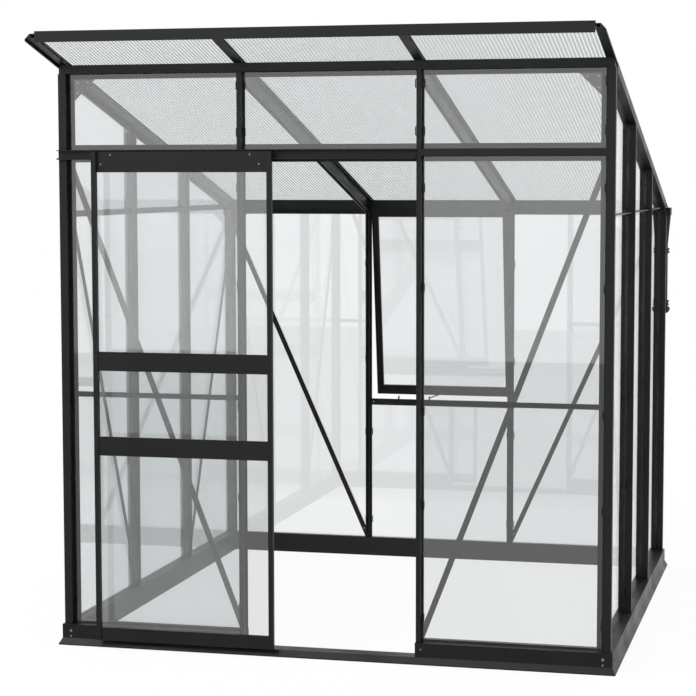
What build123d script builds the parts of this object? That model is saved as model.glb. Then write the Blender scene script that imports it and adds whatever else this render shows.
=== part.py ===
"""Free-standing glass greenhouse with a single-slope roof and a sliding door.

Millimetres. X runs along the front wall to the right, Y from the front wall to
the rear, Z up. While modelling, Y = 0 is the outer face of the front posts; each
piece is moved back by SHIFT_Y on export, so the stored origin is the bottom
centre of the whole object.
"""
import math
import os

from build123d import *

# Overall sizes
WIDTH = 1930.0              # over the outer faces of the corner posts
DEPTH = 1930.0
PITCH = 624.0               # distance between neighbouring glazing bars
FRONT_TOP = 2036.0          # roof line above the front face
REAR_TOP = 1540.0           # roof line above the rear face
OVERHANG = 284.0            # roof in front of the front wall
SHEET_REACH = 27.0          # roof sheets behind the rear wall
RAFTER_REACH = 58.0         # end rafters behind the rear wall

# Depths into the wall, counted from the outer face of a post
GLASS_DEPTH = 24.0          # outer face of the glass
GLASS = 4.0
FLANGE = 3.0
CHANNEL = 15.0              # bolt channel behind the flange
FLANGE_DEPTH = GLASS_DEPTH + GLASS
BACK_DEPTH = FLANGE_DEPTH + FLANGE
CHANNEL_DEPTH = BACK_DEPTH + CHANNEL
SILL_DEPTH = 50.0           # inner face of the base and of the eave beams

# Glazing bars and posts
WEB_WIDTH = 16.0
FLANGE_WIDTH = 28.0
CHANNEL_WIDTH = 14.0
SLOT_WIDTH = 8.0
SLOT_DEPTH = 11.0
POST = 28.0
POST_PLATE_START = GLASS_DEPTH
WALL = 2.5                  # wall of the hollow profiles
GLASS_GAP = 2.0             # between a pane's edge and its bar

# Base profile
BASE_OUT = 7.0              # plate outside the post face
DRIP_OUT = 18.0             # foot of the drip flange outside the post face
DRIP_EDGE = 4.0
DRIP_TOP = 24.0
LEDGE = 73.0                # where posts and glass stand
SILL = 80.0                 # top of the inner sill
DOOR_CUT_EDGE = 2.0         # plate end beside the doorway bar

# Eave beams: heights below the beam's top line
BEAM_OUTER = 30.0
BEAM_FLANGE = 48.0
RAFTER_FLANGE = 3.0         # flange under the roof sheets
SIDE_OUTER = 36.0           # end rafter below the roof line
SIDE_FLANGE = 54.0

# Header, rails
HEADER_LOW = 1717.0
HEADER_HIGH = 1741.0
HEADER_LIP = 18.0
MID_RAIL = 889.0
MID_RAIL_HEIGHT = 18.0
SIDE_RAIL = 1520.0
SIDE_RAIL_HEIGHT = 22.0
LIP = 4.0                   # outer lip between two panes
LIP_DEPTH = 16.0
WINDOW_SILL = 674.0
WINDOW_SILL_HEIGHT = 28.0

# Roof
SHEET = 10.0
RAFTER_WIDTH = 32.0
RAFTER_WEB = 6.0
CAP = 3.0
RAFTER_CHANNEL = 18.0
SHEET_GAP = 3.0
FASCIA_LOW = 2093.0
FASCIA_HIGH = 2130.0
FASCIA = 3.0
FASCIA_LIP = 25.0

# Door
TRACK_LOW = 1708.0
TRACK_HIGH = 1741.0
TRACK_OUT = 22.0
TRACK_WALL = 3.0
TRACK_LIP = 5.0
DOOR_LEFT = -831.0          # left edge of the door as stored
DOOR_WIDTH = 645.0
DOOR_FOOT = 30.0
DOOR_TOP = 1735.0
DOOR_BACK = 27.0            # back of the door in front of the post face
DOOR_THICK = 16.0
STILE = 17.0
HEAD_HEIGHT = 71.0
HEAD_PLATE = 3.0
DOOR_RAIL = 66.0
DOOR_RAIL_LOWS = (683.0, 979.0)
DOOR_RAIL_THICK = 10.0
KICK_HEIGHT = 46.0
DOOR_GLASS = 3.0
ROLLER_RADIUS = 9.5
ROLLER_THICK = 6.0
ROLLER_CLEAR = 5.0          # roller to the track's back and lip
ROLLER_INSET = 60.0
AXLE_RADIUS = 2.5
RUN_GAP = 0.3               # roller above the track's shelf

# Gussets and braces
GUSSET_FRONT = 110.0
GUSSET_REAR = 92.0
GUSSET = 3.0
BRACE_WIDTH = 20.0
BRACE = 4.0

# Opened rear window
WINDOW_ANGLE = 8.0
WINDOW_SIDE_GAP = 4.0
WINDOW_TOP_GAP = 5.0
SASH_STILE = 28.0
SASH_TOP = 24.0
SASH_BOTTOM = 40.0
SASH_THICK = 14.0
SASH_GLASS = 3.0
SASH_OVERLAP = 16.0         # sash foot above the sill rail's centre
STAY_SECTION = 4.0
STAY_WIDTH = 12.0
STAY_SPLAY = 66.0
PEG_RADIUS = 4.0
PEG_HEIGHT = 14.0
PEG_POSITIONS = (-178.0, -43.0)

# Gutter and downpipe
GUTTER_LENGTH = 1960.0
GUTTER_DEPTH = 65.0
GUTTER_LOW = 1488.0
GUTTER_HIGH = 1519.0
GUTTER_WALL = 2.0
PIPE_X = 943.0
PIPE_Y = DEPTH + 39.0
PIPE_RADIUS = 25.0
PIPE_FOOT = 1075.0
COLLAR_RADIUS = 32.0
FLARE_RADIUS = 36.0
COLLARS = ((1328.0, 1349.0), (1108.0, 1130.0))
FLARE_HEIGHT = 26.0

HALF = WIDTH / 2
SLOPE = (FRONT_TOP - REAR_TOP) / DEPTH
ROOF_START = -OVERHANG
GUTTER_BACK = DEPTH + GUTTER_DEPTH
SASH_TOP_EDGE = REAR_TOP - RAFTER_FLANGE - BEAM_OUTER - WINDOW_TOP_GAP
SASH_LOW_EDGE = WINDOW_SILL + SASH_OVERLAP
SASH_SWING = (SASH_TOP_EDGE - SASH_LOW_EDGE) * math.sin(math.radians(WINDOW_ANGLE))
SASH_BACK = DEPTH - GLASS_DEPTH + SASH_THICK + SASH_SWING
SHIFT_Y = (ROOF_START + max(GUTTER_BACK, SASH_BACK)) / 2
BARS = (-PITCH / 2, PITCH / 2)
SIDE_BARS = (DEPTH / 2 - PITCH / 2, DEPTH / 2 + PITCH / 2)


def roof(y, offset=0.0):
    """Height of the roof line at y, plus an offset."""
    return FRONT_TOP - SLOPE * y + offset


def face(plane, outline):
    """Flat face on a plane, always wound the same way so that it extrudes the same way."""
    turns = zip(outline, outline[1:] + outline[:1])
    area = sum(a[0] * b[1] - b[0] * a[1] for a, b in turns)
    ordered = outline if area > 0 else outline[::-1]
    return plane * Polygon(*ordered, align=None)


def slab(wall, outline, start, end):
    """Flat piece lying in a wall, from depth start to depth end."""
    thick = end - start
    if wall in ("front", "rear"):
        plane = Plane.XZ.offset(-start)
        piece = extrude(face(plane, outline), amount=-thick)
        if wall == "rear":
            piece = mirror(piece, about=Plane.XZ.offset(-DEPTH / 2))
        return piece
    plane = Plane.YZ.offset(-HALF + start)
    piece = extrude(face(plane, outline), amount=thick)
    if wall == "right":
        piece = mirror(piece, about=Plane.YZ)
    return piece


def rect(along0, along1, low, high):
    return [(along0, low), (along1, low), (along1, high), (along0, high)]


def upright(wall, centre, width, low, start, end, top):
    """Vertical slab whose top follows the function top(position)."""
    left = centre - width / 2
    right = centre + width / 2
    outline = [(left, low), (right, low), (right, top(right)), (left, top(left))]
    return slab(wall, outline, start, end)


def glazing_bar(wall, centre, top_web, top_flange):
    """Web outside, flange behind the glass, slotted channel inside."""
    bar = upright(wall, centre, WEB_WIDTH, LEDGE, 0, FLANGE_DEPTH, top_web)
    bar += upright(wall, centre, FLANGE_WIDTH, SILL, FLANGE_DEPTH, BACK_DEPTH, top_flange)
    bar += upright(wall, centre, CHANNEL_WIDTH, SILL, BACK_DEPTH, CHANNEL_DEPTH, top_flange)
    slot_start = CHANNEL_DEPTH - SLOT_DEPTH
    bar -= upright(wall, centre, SLOT_WIDTH, SILL, slot_start, CHANNEL_DEPTH, top_flange)
    return bar


def level(height):
    """A flat top for the uprights."""
    return lambda position: height


def wall_corners(wall):
    """First and last free position between the two posts of a wall."""
    if wall in ("front", "rear"):
        return -HALF, HALF
    return 0.0, DEPTH


def wall_bars(wall):
    return BARS if wall in ("front", "rear") else SIDE_BARS


def bays(wall, post_inset, bar_inset):
    """The three free spans of a wall between its posts and bars."""
    start, end = wall_corners(wall)
    first, second = wall_bars(wall)
    return [
        (start + post_inset, first - bar_inset),
        (first + bar_inset, second - bar_inset),
        (second + bar_inset, end - post_inset),
    ]


def sweep_y(outline, y0, y1):
    """Section in X and roof offset, drawn out along the roof slope."""
    section = face(Plane.XZ.offset(-y0), outline)
    section = Pos(0, 0, roof(y0)) * section
    length = (y1 - y0) * math.sqrt(1 + SLOPE * SLOPE)
    return extrude(section, amount=length, dir=(0, 1, -SLOPE))


def base_section():
    outer = [
        (-DRIP_OUT, 0), (-DRIP_OUT, DRIP_EDGE), (-BASE_OUT, DRIP_TOP),
        (-BASE_OUT, LEDGE), (FLANGE_DEPTH, LEDGE), (FLANGE_DEPTH, SILL),
        (SILL_DEPTH, SILL), (SILL_DEPTH, 0),
    ]
    inner_left = -BASE_OUT + WALL
    inner = [
        (inner_left, WALL), (inner_left, LEDGE - WALL), (FLANGE_DEPTH + WALL, LEDGE - WALL),
        (FLANGE_DEPTH + WALL, SILL - WALL), (SILL_DEPTH - WALL, SILL - WALL),
        (SILL_DEPTH - WALL, WALL),
    ]
    return outer, inner


def base_side(along_x, length, doorway=None):
    """One mitred side of the base ring, drawn as the front or the left side."""
    outer, inner = base_section()
    half = length / 2 + DRIP_OUT
    plane = Plane.YZ.offset(-half)
    piece = extrude(face(plane, outer), amount=2 * half)
    piece -= extrude(face(plane, inner), amount=2 * half)
    if doorway:
        left, right = doorway
        piece -= Pos((left + right) / 2, 0, DRIP_TOP + SILL / 2) * Box(right - left, 200, SILL)
        sill = [(-DRIP_OUT, 0), (-DRIP_OUT, DRIP_EDGE), (-BASE_OUT, DRIP_TOP),
                (SILL_DEPTH, DRIP_TOP), (SILL_DEPTH, 0)]
        piece += extrude(face(Plane.YZ.offset(left), sill), amount=right - left)
    for way in (-1, 1):
        reach = SILL_DEPTH + 2 * DRIP_OUT
        corner = [(way * (half + DRIP_OUT), -2 * DRIP_OUT), (way * (half + reach), -2 * DRIP_OUT),
                  (way * (half + reach), SILL_DEPTH + DRIP_OUT),
                  (way * (half - SILL_DEPTH - 2 * DRIP_OUT), SILL_DEPTH + DRIP_OUT)]
        wedge = Pos(0, 0, -SILL) * extrude(face(Plane.XY, corner), amount=3 * SILL)
        piece -= wedge
    if along_x:
        return piece
    return Pos(-HALF, DEPTH / 2, 0) * (Rot(0, 0, -90) * piece)


def corner_post(top_tube, top_plate):
    """Square tube outside with one plate behind the glass of each wall."""
    tube = Pos(-HALF + POST / 2, POST / 2, (LEDGE + top_tube) / 2)
    piece = tube * Box(POST, POST, top_tube - LEDGE)
    height = top_plate - SILL
    middle = (POST_PLATE_START + SILL_DEPTH) / 2
    reach = SILL_DEPTH - POST_PLATE_START
    behind = FLANGE_DEPTH + FLANGE / 2
    centre_z = SILL + height / 2
    piece += Pos(-HALF + middle, behind, centre_z) * Box(reach, FLANGE, height)
    piece += Pos(-HALF + behind, middle, centre_z) * Box(FLANGE, reach, height)
    return piece


def eave_beam(wall, top_line):
    """Beam over the posts: outer part, thin flange behind the glass, inner part."""
    low = top_line - RAFTER_FLANGE - BEAM_OUTER
    flange_low = top_line - RAFTER_FLANGE - BEAM_FLANGE
    fall = SLOPE if wall == "front" else -SLOPE
    front = top_line - RAFTER_FLANGE
    back = front - fall * SILL_DEPTH
    outline = [(0, low), (FLANGE_DEPTH, low), (FLANGE_DEPTH, flange_low),
               (BACK_DEPTH, flange_low), (BACK_DEPTH, low), (SILL_DEPTH, low),
               (SILL_DEPTH, back), (0, front)]
    half = HALF - BEAM_END_GAP
    beam = extrude(face(Plane.YZ.offset(-half), outline), amount=2 * half)
    if wall == "rear":
        beam = mirror(beam, about=Plane.XZ.offset(-DEPTH / 2))
    return beam


BEAM_END_GAP = 4.0          # room for the end rafters' lip
FRONT_BEAM_LOW = FRONT_TOP - RAFTER_FLANGE - BEAM_OUTER
FRONT_FLANGE_LOW = FRONT_TOP - RAFTER_FLANGE - BEAM_FLANGE
REAR_BEAM_LOW = REAR_TOP - RAFTER_FLANGE - BEAM_OUTER
REAR_FLANGE_LOW = REAR_TOP - RAFTER_FLANGE - BEAM_FLANGE


def end_rafter():
    """Left end rafter: roof edge over its whole length, wall head between the beams."""
    x = -HALF
    edge = [(x, -12), (x + BEAM_END_GAP, -12), (x + BEAM_END_GAP, -RAFTER_FLANGE),
            (x + 34, -RAFTER_FLANGE), (x + 34, 0), (x + 20, 0), (x + 20, SHEET),
            (x + 34, SHEET), (x + 34, SHEET + CAP), (x + 17, SHEET + CAP), (x, -5)]
    rafter = sweep_y(edge, ROOF_START, DEPTH + RAFTER_REACH)
    head = [(x, -SIDE_OUTER), (x + FLANGE_DEPTH, -SIDE_OUTER), (x + FLANGE_DEPTH, -SIDE_FLANGE),
            (x + BACK_DEPTH, -SIDE_FLANGE), (x + BACK_DEPTH, -SIDE_OUTER),
            (x + SILL_DEPTH, -SIDE_OUTER), (x + SILL_DEPTH, -RAFTER_FLANGE),
            (x, -RAFTER_FLANGE)]
    rafter += sweep_y(head, SILL_DEPTH, DEPTH - SILL_DEPTH)
    return rafter


def inner_rafter(centre):
    half = RAFTER_WIDTH / 2
    web = RAFTER_WEB / 2
    end = DEPTH + SHEET_REACH
    start = ROOF_START + FASCIA
    under = [(centre - half, -RAFTER_FLANGE), (centre + half, -RAFTER_FLANGE),
             (centre + half, 0), (centre + web, 0), (centre + web, SHEET),
             (centre - web, SHEET), (centre - web, 0), (centre - half, 0)]
    rafter = sweep_y(under, start, end)
    cap = [(centre - half, SHEET), (centre + half, SHEET),
           (centre + half - CAP, SHEET + CAP), (centre - half + CAP, SHEET + CAP)]
    rafter += sweep_y(cap, start + FASCIA_LIP, end)
    inner = CHANNEL_WIDTH / 2
    low = -RAFTER_FLANGE - RAFTER_CHANNEL
    slot = SLOT_WIDTH / 2
    top = low + SLOT_DEPTH
    channel = [(centre - inner, low), (centre - slot, low), (centre - slot, top),
               (centre + slot, top), (centre + slot, low), (centre + inner, low),
               (centre + inner, -RAFTER_FLANGE), (centre - inner, -RAFTER_FLANGE)]
    rafter += sweep_y(channel, SILL_DEPTH, DEPTH - SILL_DEPTH)
    return rafter


def roof_sheets():
    left = -HALF + 20 + SHEET_GAP
    bar = PITCH / 2 + RAFTER_WEB / 2 + SHEET_GAP
    inner = PITCH / 2 - RAFTER_WEB / 2 - SHEET_GAP
    spans = {"left": (left, -bar), "middle": (-inner, inner), "right": (bar, -left)}
    sheets = {}
    for name, (x0, x1) in spans.items():
        outline = [(x0, 0), (x1, 0), (x1, SHEET), (x0, SHEET)]
        sheets[name] = sweep_y(outline, ROOF_START + FASCIA, DEPTH + SHEET_REACH)
    return sheets


def roof_front_edge():
    """Upright front plate with a wedge lying on the sheets."""
    half = HALF - 34
    back = ROOF_START + FASCIA
    tip = back + FASCIA_LIP
    outline = [(ROOF_START, FASCIA_LOW), (back, FASCIA_LOW), (back, roof(back, SHEET)),
               (tip, roof(tip, SHEET)), (tip, roof(tip, SHEET + CAP)), (back, FASCIA_HIGH),
               (ROOF_START, FASCIA_HIGH)]
    return extrude(face(Plane.YZ.offset(-half), outline), amount=2 * half)


def header_parts():
    """Three lengths of header between the posts and the bars."""
    parts = []
    webs = bays("front", POST, WEB_WIDTH / 2)
    stems = bays("front", BACK_DEPTH, WEB_WIDTH / 2)
    flanges = bays("front", SILL_DEPTH, FLANGE_WIDTH / 2)
    centre = (HEADER_LOW + HEADER_HIGH) / 2
    for web, stem, flange in zip(webs, stems, flanges):
        part = slab("front", rect(*web, HEADER_LOW, HEADER_HIGH), 0, GLASS_DEPTH)
        behind = rect(*stem, HEADER_LOW, HEADER_HIGH)
        part += slab("front", behind, GLASS_DEPTH, FLANGE_DEPTH)
        wide = rect(*flange, HEADER_LOW - HEADER_LIP, HEADER_HIGH + HEADER_LIP)
        part += slab("front", wide, FLANGE_DEPTH, BACK_DEPTH)
        thin = rect(*flange, centre - CHANNEL_WIDTH / 2, centre + CHANNEL_WIDTH / 2)
        part += slab("front", thin, BACK_DEPTH, CHANNEL_DEPTH)
        parts.append(part)
    return parts


def door_track():
    """C-shaped track fixed to the outside of the front wall."""
    left = -HALF
    right = BARS[1] - WEB_WIDTH / 2
    lip = TRACK_OUT - TRACK_WALL
    shelf = TRACK_LOW + TRACK_WALL
    cover = TRACK_HIGH - TRACK_WALL
    outline = [(0, TRACK_LOW), (0, TRACK_HIGH), (-TRACK_OUT, TRACK_HIGH), (-TRACK_OUT, cover),
               (-TRACK_WALL, cover), (-TRACK_WALL, shelf), (-lip, shelf),
               (-lip, TRACK_LOW + TRACK_LIP), (-TRACK_OUT, TRACK_LOW + TRACK_LIP),
               (-TRACK_OUT, TRACK_LOW)]
    return extrude(face(Plane.YZ.offset(left), outline), amount=right - left)


def gusset(wall, size, top):
    """Triangle in both upper corners of a wall."""
    start, end = wall_corners(wall)
    inset = BACK_DEPTH
    parts = []
    for corner, way in ((start + inset, 1), (end - inset, -1)):
        outline = [(corner, top), (corner + way * size, top), (corner, top - size)]
        parts.append(slab(wall, outline, BACK_DEPTH, BACK_DEPTH + GUSSET))
    return parts


def brace(wall, from_point, to_point, start):
    """Flat diagonal strip with upright ends."""
    (t0, z0), (t1, z1) = from_point, to_point
    angle = math.atan2(abs(z1 - z0), abs(t1 - t0))
    rise = BRACE_WIDTH / math.cos(angle) / 2
    outline = [(t0, z0 - rise), (t0, z0 + rise), (t1, z1 + rise), (t1, z1 - rise)]
    piece = slab(wall, outline, start, start + BRACE)
    low = slab(wall, rect(min(t0, t1) - 1, max(t0, t1) + 1, 0, SILL), start - 1, start + BRACE + 1)
    return piece - low


def door_parts():
    """The hung door as stored, in front of the left bay."""
    left = DOOR_LEFT
    right = DOOR_LEFT + DOOR_WIDTH
    front = -DOOR_BACK - DOOR_THICK
    back = -DOOR_BACK
    middle = (front + back) / 2
    height = DOOR_TOP - DOOR_FOOT
    stiles = []
    for x in (left + STILE / 2, right - STILE / 2):
        stiles.append(Pos(x, middle, DOOR_FOOT + height / 2) * Box(STILE, DOOR_THICK, height))
    inner_left = left + STILE
    inner_right = right - STILE
    centre = (left + right) / 2
    span = inner_right - inner_left
    rails = []
    for low in DOOR_RAIL_LOWS:
        rail = Pos(centre, middle, low + DOOR_RAIL / 2) * Box(span, DOOR_RAIL_THICK, DOOR_RAIL)
        rails.append(rail)
    kick = Pos(centre, middle, DOOR_FOOT + KICK_HEIGHT / 2) * Box(span, DOOR_RAIL_THICK, KICK_HEIGHT)
    head_low = DOOR_TOP - HEAD_HEIGHT
    head = Pos(centre, back - HEAD_PLATE / 2, head_low + HEAD_HEIGHT / 2)
    head = head * Box(span, HEAD_PLATE, HEAD_HEIGHT)
    panes = []
    edges = [DOOR_FOOT + KICK_HEIGHT]
    for low in DOOR_RAIL_LOWS:
        edges += [low, low + DOOR_RAIL]
    edges.append(head_low)
    for low, high in zip(edges[0::2], edges[1::2]):
        pane = Pos(centre, middle, (low + high) / 2) * Box(span, DOOR_GLASS, high - low)
        panes.append(pane)
    rollers = []
    axle_z = TRACK_LOW + TRACK_WALL + RUN_GAP + ROLLER_RADIUS
    wheel = TRACK_OUT - TRACK_WALL - ROLLER_CLEAR - ROLLER_THICK / 2
    for x in (left + ROLLER_INSET, right - ROLLER_INSET):
        wheel_at = Plane.XZ.offset(wheel)
        roller = Pos(x, 0, axle_z) * extrude(
            wheel_at * Circle(ROLLER_RADIUS), amount=ROLLER_THICK / 2, both=True)
        roller += Pos(x, 0, axle_z) * extrude(
            wheel_at * Circle(AXLE_RADIUS), amount=DOOR_BACK - wheel)
        rollers.append(roller)
    return stiles, head, rails, kick, panes, rollers


def window_parts():
    """Top-hung sash swung outward, built flat in the wall and turned about its head."""
    half = PITCH / 2 - WEB_WIDTH / 2 - WINDOW_SIDE_GAP
    top = SASH_TOP_EDGE
    low = SASH_LOW_EDGE
    outer = GLASS_DEPTH - SASH_THICK
    turn = Pos(0, DEPTH - outer, top) * (Rot(WINDOW_ANGLE, 0, 0) * Pos(0, outer - DEPTH, -top))
    rails = [
        slab("rear", rect(-half, half, top - SASH_TOP, top), outer, GLASS_DEPTH),
        slab("rear", rect(-half, half, low, low + SASH_BOTTOM), outer, GLASS_DEPTH),
    ]
    stiles = [
        slab("rear", rect(-half, -half + SASH_STILE, low + SASH_BOTTOM, top - SASH_TOP),
             outer, GLASS_DEPTH),
        slab("rear", rect(half - SASH_STILE, half, low + SASH_BOTTOM, top - SASH_TOP),
             outer, GLASS_DEPTH),
    ]
    middle = (outer + GLASS_DEPTH) / 2
    inner = half - SASH_STILE
    pane = slab("rear", rect(-inner, inner, low + SASH_BOTTOM, top - SASH_TOP),
                middle - SASH_GLASS / 2, middle + SASH_GLASS / 2)
    rails = [turn * rail for rail in rails]
    stiles = [turn * stile for stile in stiles]
    foot = turn * Pos(0, DEPTH - GLASS_DEPTH, low + SASH_BOTTOM / 2)
    return rails, stiles, turn * pane, foot.position


def window_stay(foot):
    """Pegs on the sill rail and the arm from a peg to the sash."""
    sill_top = WINDOW_SILL + WINDOW_SILL_HEIGHT / 2
    sill_y = DEPTH - BACK_DEPTH - PEG_RADIUS
    shelf_y = DEPTH - FLANGE_DEPTH - FLANGE / 2
    parts = []
    for x in PEG_POSITIONS:
        peg = Pos(x, shelf_y, sill_top + PEG_HEIGHT / 2) * Box(FLANGE * 2, FLANGE, PEG_HEIGHT)
        parts.append(peg)
    start = Vector(PEG_POSITIONS[1], shelf_y + FLANGE / 2, sill_top + PEG_HEIGHT / 2)
    end = Vector(PEG_POSITIONS[1] + STAY_SPLAY, foot.Y, foot.Z)
    along = end - start
    plane = Plane(origin=start + along / 2, x_dir=along, z_dir=along.cross(Vector(0, 0, 1)))
    arm = plane * Box(along.length - STAY_SECTION, STAY_SECTION, STAY_SECTION)
    parts.append(arm)
    return parts


def gutter():
    half = GUTTER_LENGTH / 2
    y = DEPTH
    outline = [(y, GUTTER_LOW), (GUTTER_BACK, GUTTER_LOW), (GUTTER_BACK, GUTTER_HIGH),
               (GUTTER_BACK - GUTTER_WALL, GUTTER_HIGH),
               (GUTTER_BACK - GUTTER_WALL, GUTTER_LOW + GUTTER_WALL),
               (y + GUTTER_WALL, GUTTER_LOW + GUTTER_WALL), (y + GUTTER_WALL, GUTTER_HIGH),
               (y, GUTTER_HIGH)]
    piece = extrude(face(Plane.YZ.offset(-half), outline), amount=2 * half)
    for x in (-half, half - GUTTER_WALL):
        end = rect(y, GUTTER_BACK, GUTTER_LOW, GUTTER_HIGH)
        piece += extrude(face(Plane.YZ.offset(x), end), amount=GUTTER_WALL)
    outlet = Pos(PIPE_X, PIPE_Y, GUTTER_LOW)
    return piece - outlet * Cylinder(PIPE_RADIUS - GUTTER_WALL, GUTTER_WALL * 4)


def downpipe():
    at = Pos(PIPE_X, PIPE_Y, 0)

    def disc(radius, low, high):
        return at * Pos(0, 0, (low + high) / 2) * Cylinder(radius, high - low)

    pipe = disc(PIPE_RADIUS, PIPE_FOOT, GUTTER_LOW)
    for low, high in COLLARS:
        pipe += disc(COLLAR_RADIUS, low, high)
    flare = Pos(0, 0, PIPE_FOOT + FLARE_HEIGHT / 2) * Cone(FLARE_RADIUS, PIPE_RADIUS, FLARE_HEIGHT)
    pipe += at * flare
    return pipe - disc(PIPE_RADIUS - GUTTER_WALL, PIPE_FOOT - 1, GUTTER_LOW + 1)


def pane(wall, span, low, top):
    """Flat pane whose head follows top(position), between two positions."""
    left = span[0] + GLASS_GAP
    right = span[1] - GLASS_GAP
    outline = [(left, low), (right, low), (right, top(right)), (left, top(left))]
    return slab(wall, outline, GLASS_DEPTH, FLANGE_DEPTH)


def side_glass(wall):
    """Lower panes up to the level rail and sloping panes above it."""
    spans = bays(wall, BACK_DEPTH, WEB_WIDTH / 2)
    low_top = SIDE_RAIL - LIP / 2
    high_low = SIDE_RAIL + LIP / 2

    def under_roof(y):
        return roof(y, -SIDE_OUTER - GLASS_GAP)

    parts = []
    for span in spans[:2]:
        parts.append(pane(wall, span, LEDGE, level(low_top)))
    left = spans[2][0] + GLASS_GAP
    right = spans[2][1] - GLASS_GAP
    beam = DEPTH - SILL_DEPTH - GLASS_GAP
    bend = (FRONT_TOP - SIDE_OUTER - GLASS_GAP - low_top) / SLOPE
    outline = [(left, LEDGE), (right, LEDGE), (right, REAR_BEAM_LOW - GLASS_GAP),
               (beam, REAR_BEAM_LOW - GLASS_GAP), (beam, under_roof(beam)), (bend, low_top),
               (left, low_top)]
    parts.append(slab(wall, outline, GLASS_DEPTH, FLANGE_DEPTH))
    for span in spans[:2]:
        parts.append(pane(wall, span, high_low, under_roof))
    tip = (FRONT_TOP - SIDE_OUTER - GLASS_GAP - high_low) / SLOPE
    outline = [(left, high_low), (tip - 12, high_low), (tip - 12, under_roof(tip - 12)),
               (left, under_roof(left))]
    parts.append(slab(wall, outline, GLASS_DEPTH, FLANGE_DEPTH))
    return parts


def side_rails(wall):
    """Level rail in three lengths; the rear one ends against the end rafter."""
    low = SIDE_RAIL - SIDE_RAIL_HEIGHT / 2
    high = SIDE_RAIL + SIDE_RAIL_HEIGHT / 2
    flanges = bays(wall, SILL_DEPTH, FLANGE_WIDTH / 2)
    parts = []
    for index in (0, 1):
        part = slab(wall, rect(*flanges[index], low, high), FLANGE_DEPTH, BACK_DEPTH)
        lip = rect(flanges[index][0], flanges[index][1], SIDE_RAIL - LIP / 2, SIDE_RAIL + LIP / 2)
        part += slab(wall, lip, FLANGE_DEPTH - LIP_DEPTH, FLANGE_DEPTH)
        parts.append(part)
    start = flanges[2][0]
    meet_high = (FRONT_TOP - SIDE_FLANGE - high) / SLOPE
    meet_low = (FRONT_TOP - SIDE_FLANGE - low) / SLOPE
    part = slab(wall, [(start, low), (meet_low, low), (meet_high, high), (start, high)],
                FLANGE_DEPTH, BACK_DEPTH)
    lip = rect(start, meet_high, SIDE_RAIL - LIP / 2, SIDE_RAIL + LIP / 2)
    part += slab(wall, lip, FLANGE_DEPTH - LIP_DEPTH, FLANGE_DEPTH)
    parts.append(part)
    return parts


def save(name, pieces):
    """Write one node; like pieces may share it as separate solids."""
    if isinstance(pieces, (list, tuple)):
        shape = Compound(children=[Pos(0, -SHIFT_Y, 0) * piece for piece in pieces])
    else:
        shape = Pos(0, -SHIFT_Y, 0) * pieces
    shape.label = name
    export_step(shape, os.path.join("parts", name + ".step"))


def build_base():
    doorway = (BARS[0] + DOOR_CUT_EDGE + WEB_WIDTH / 2, BARS[1] - DOOR_CUT_EDGE - WEB_WIDTH / 2)
    save("base_front", base_side(True, WIDTH, doorway))
    rear = mirror(base_side(True, WIDTH), about=Plane.XZ.offset(-DEPTH / 2))
    save("base_rear", rear)
    left = base_side(False, DEPTH)
    save("base_left", left)
    save("base_right", mirror(left, about=Plane.YZ))


def build_frame():
    front_post = corner_post(FRONT_BEAM_LOW, FRONT_FLANGE_LOW)
    save("post_front_left", front_post)
    save("post_front_right", mirror(front_post, about=Plane.YZ))
    rear_post = corner_post(REAR_BEAM_LOW, REAR_FLANGE_LOW)
    rear_post = mirror(rear_post, about=Plane.XZ.offset(-DEPTH / 2))
    save("post_rear_left", rear_post)
    save("post_rear_right", mirror(rear_post, about=Plane.YZ))
    front = [glazing_bar("front", x, level(FRONT_BEAM_LOW), level(FRONT_FLANGE_LOW)) for x in BARS]
    save("front_mullions", front)
    rear = [glazing_bar("rear", x, level(REAR_BEAM_LOW), level(REAR_FLANGE_LOW)) for x in BARS]
    save("rear_mullions", rear)

    def web_top(y):
        return roof(y, -SIDE_OUTER)

    def flange_top(y):
        return roof(y, -SIDE_FLANGE)

    left = [glazing_bar("left", y, web_top, flange_top) for y in SIDE_BARS]
    save("left_mullions", left)
    save("right_mullions", [mirror(bar, about=Plane.YZ) for bar in left])
    save("front_eave_beam", eave_beam("front", FRONT_TOP))
    save("rear_eave_beam", eave_beam("rear", REAR_TOP))
    save("door_header", header_parts())
    save("door_track", door_track())


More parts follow.
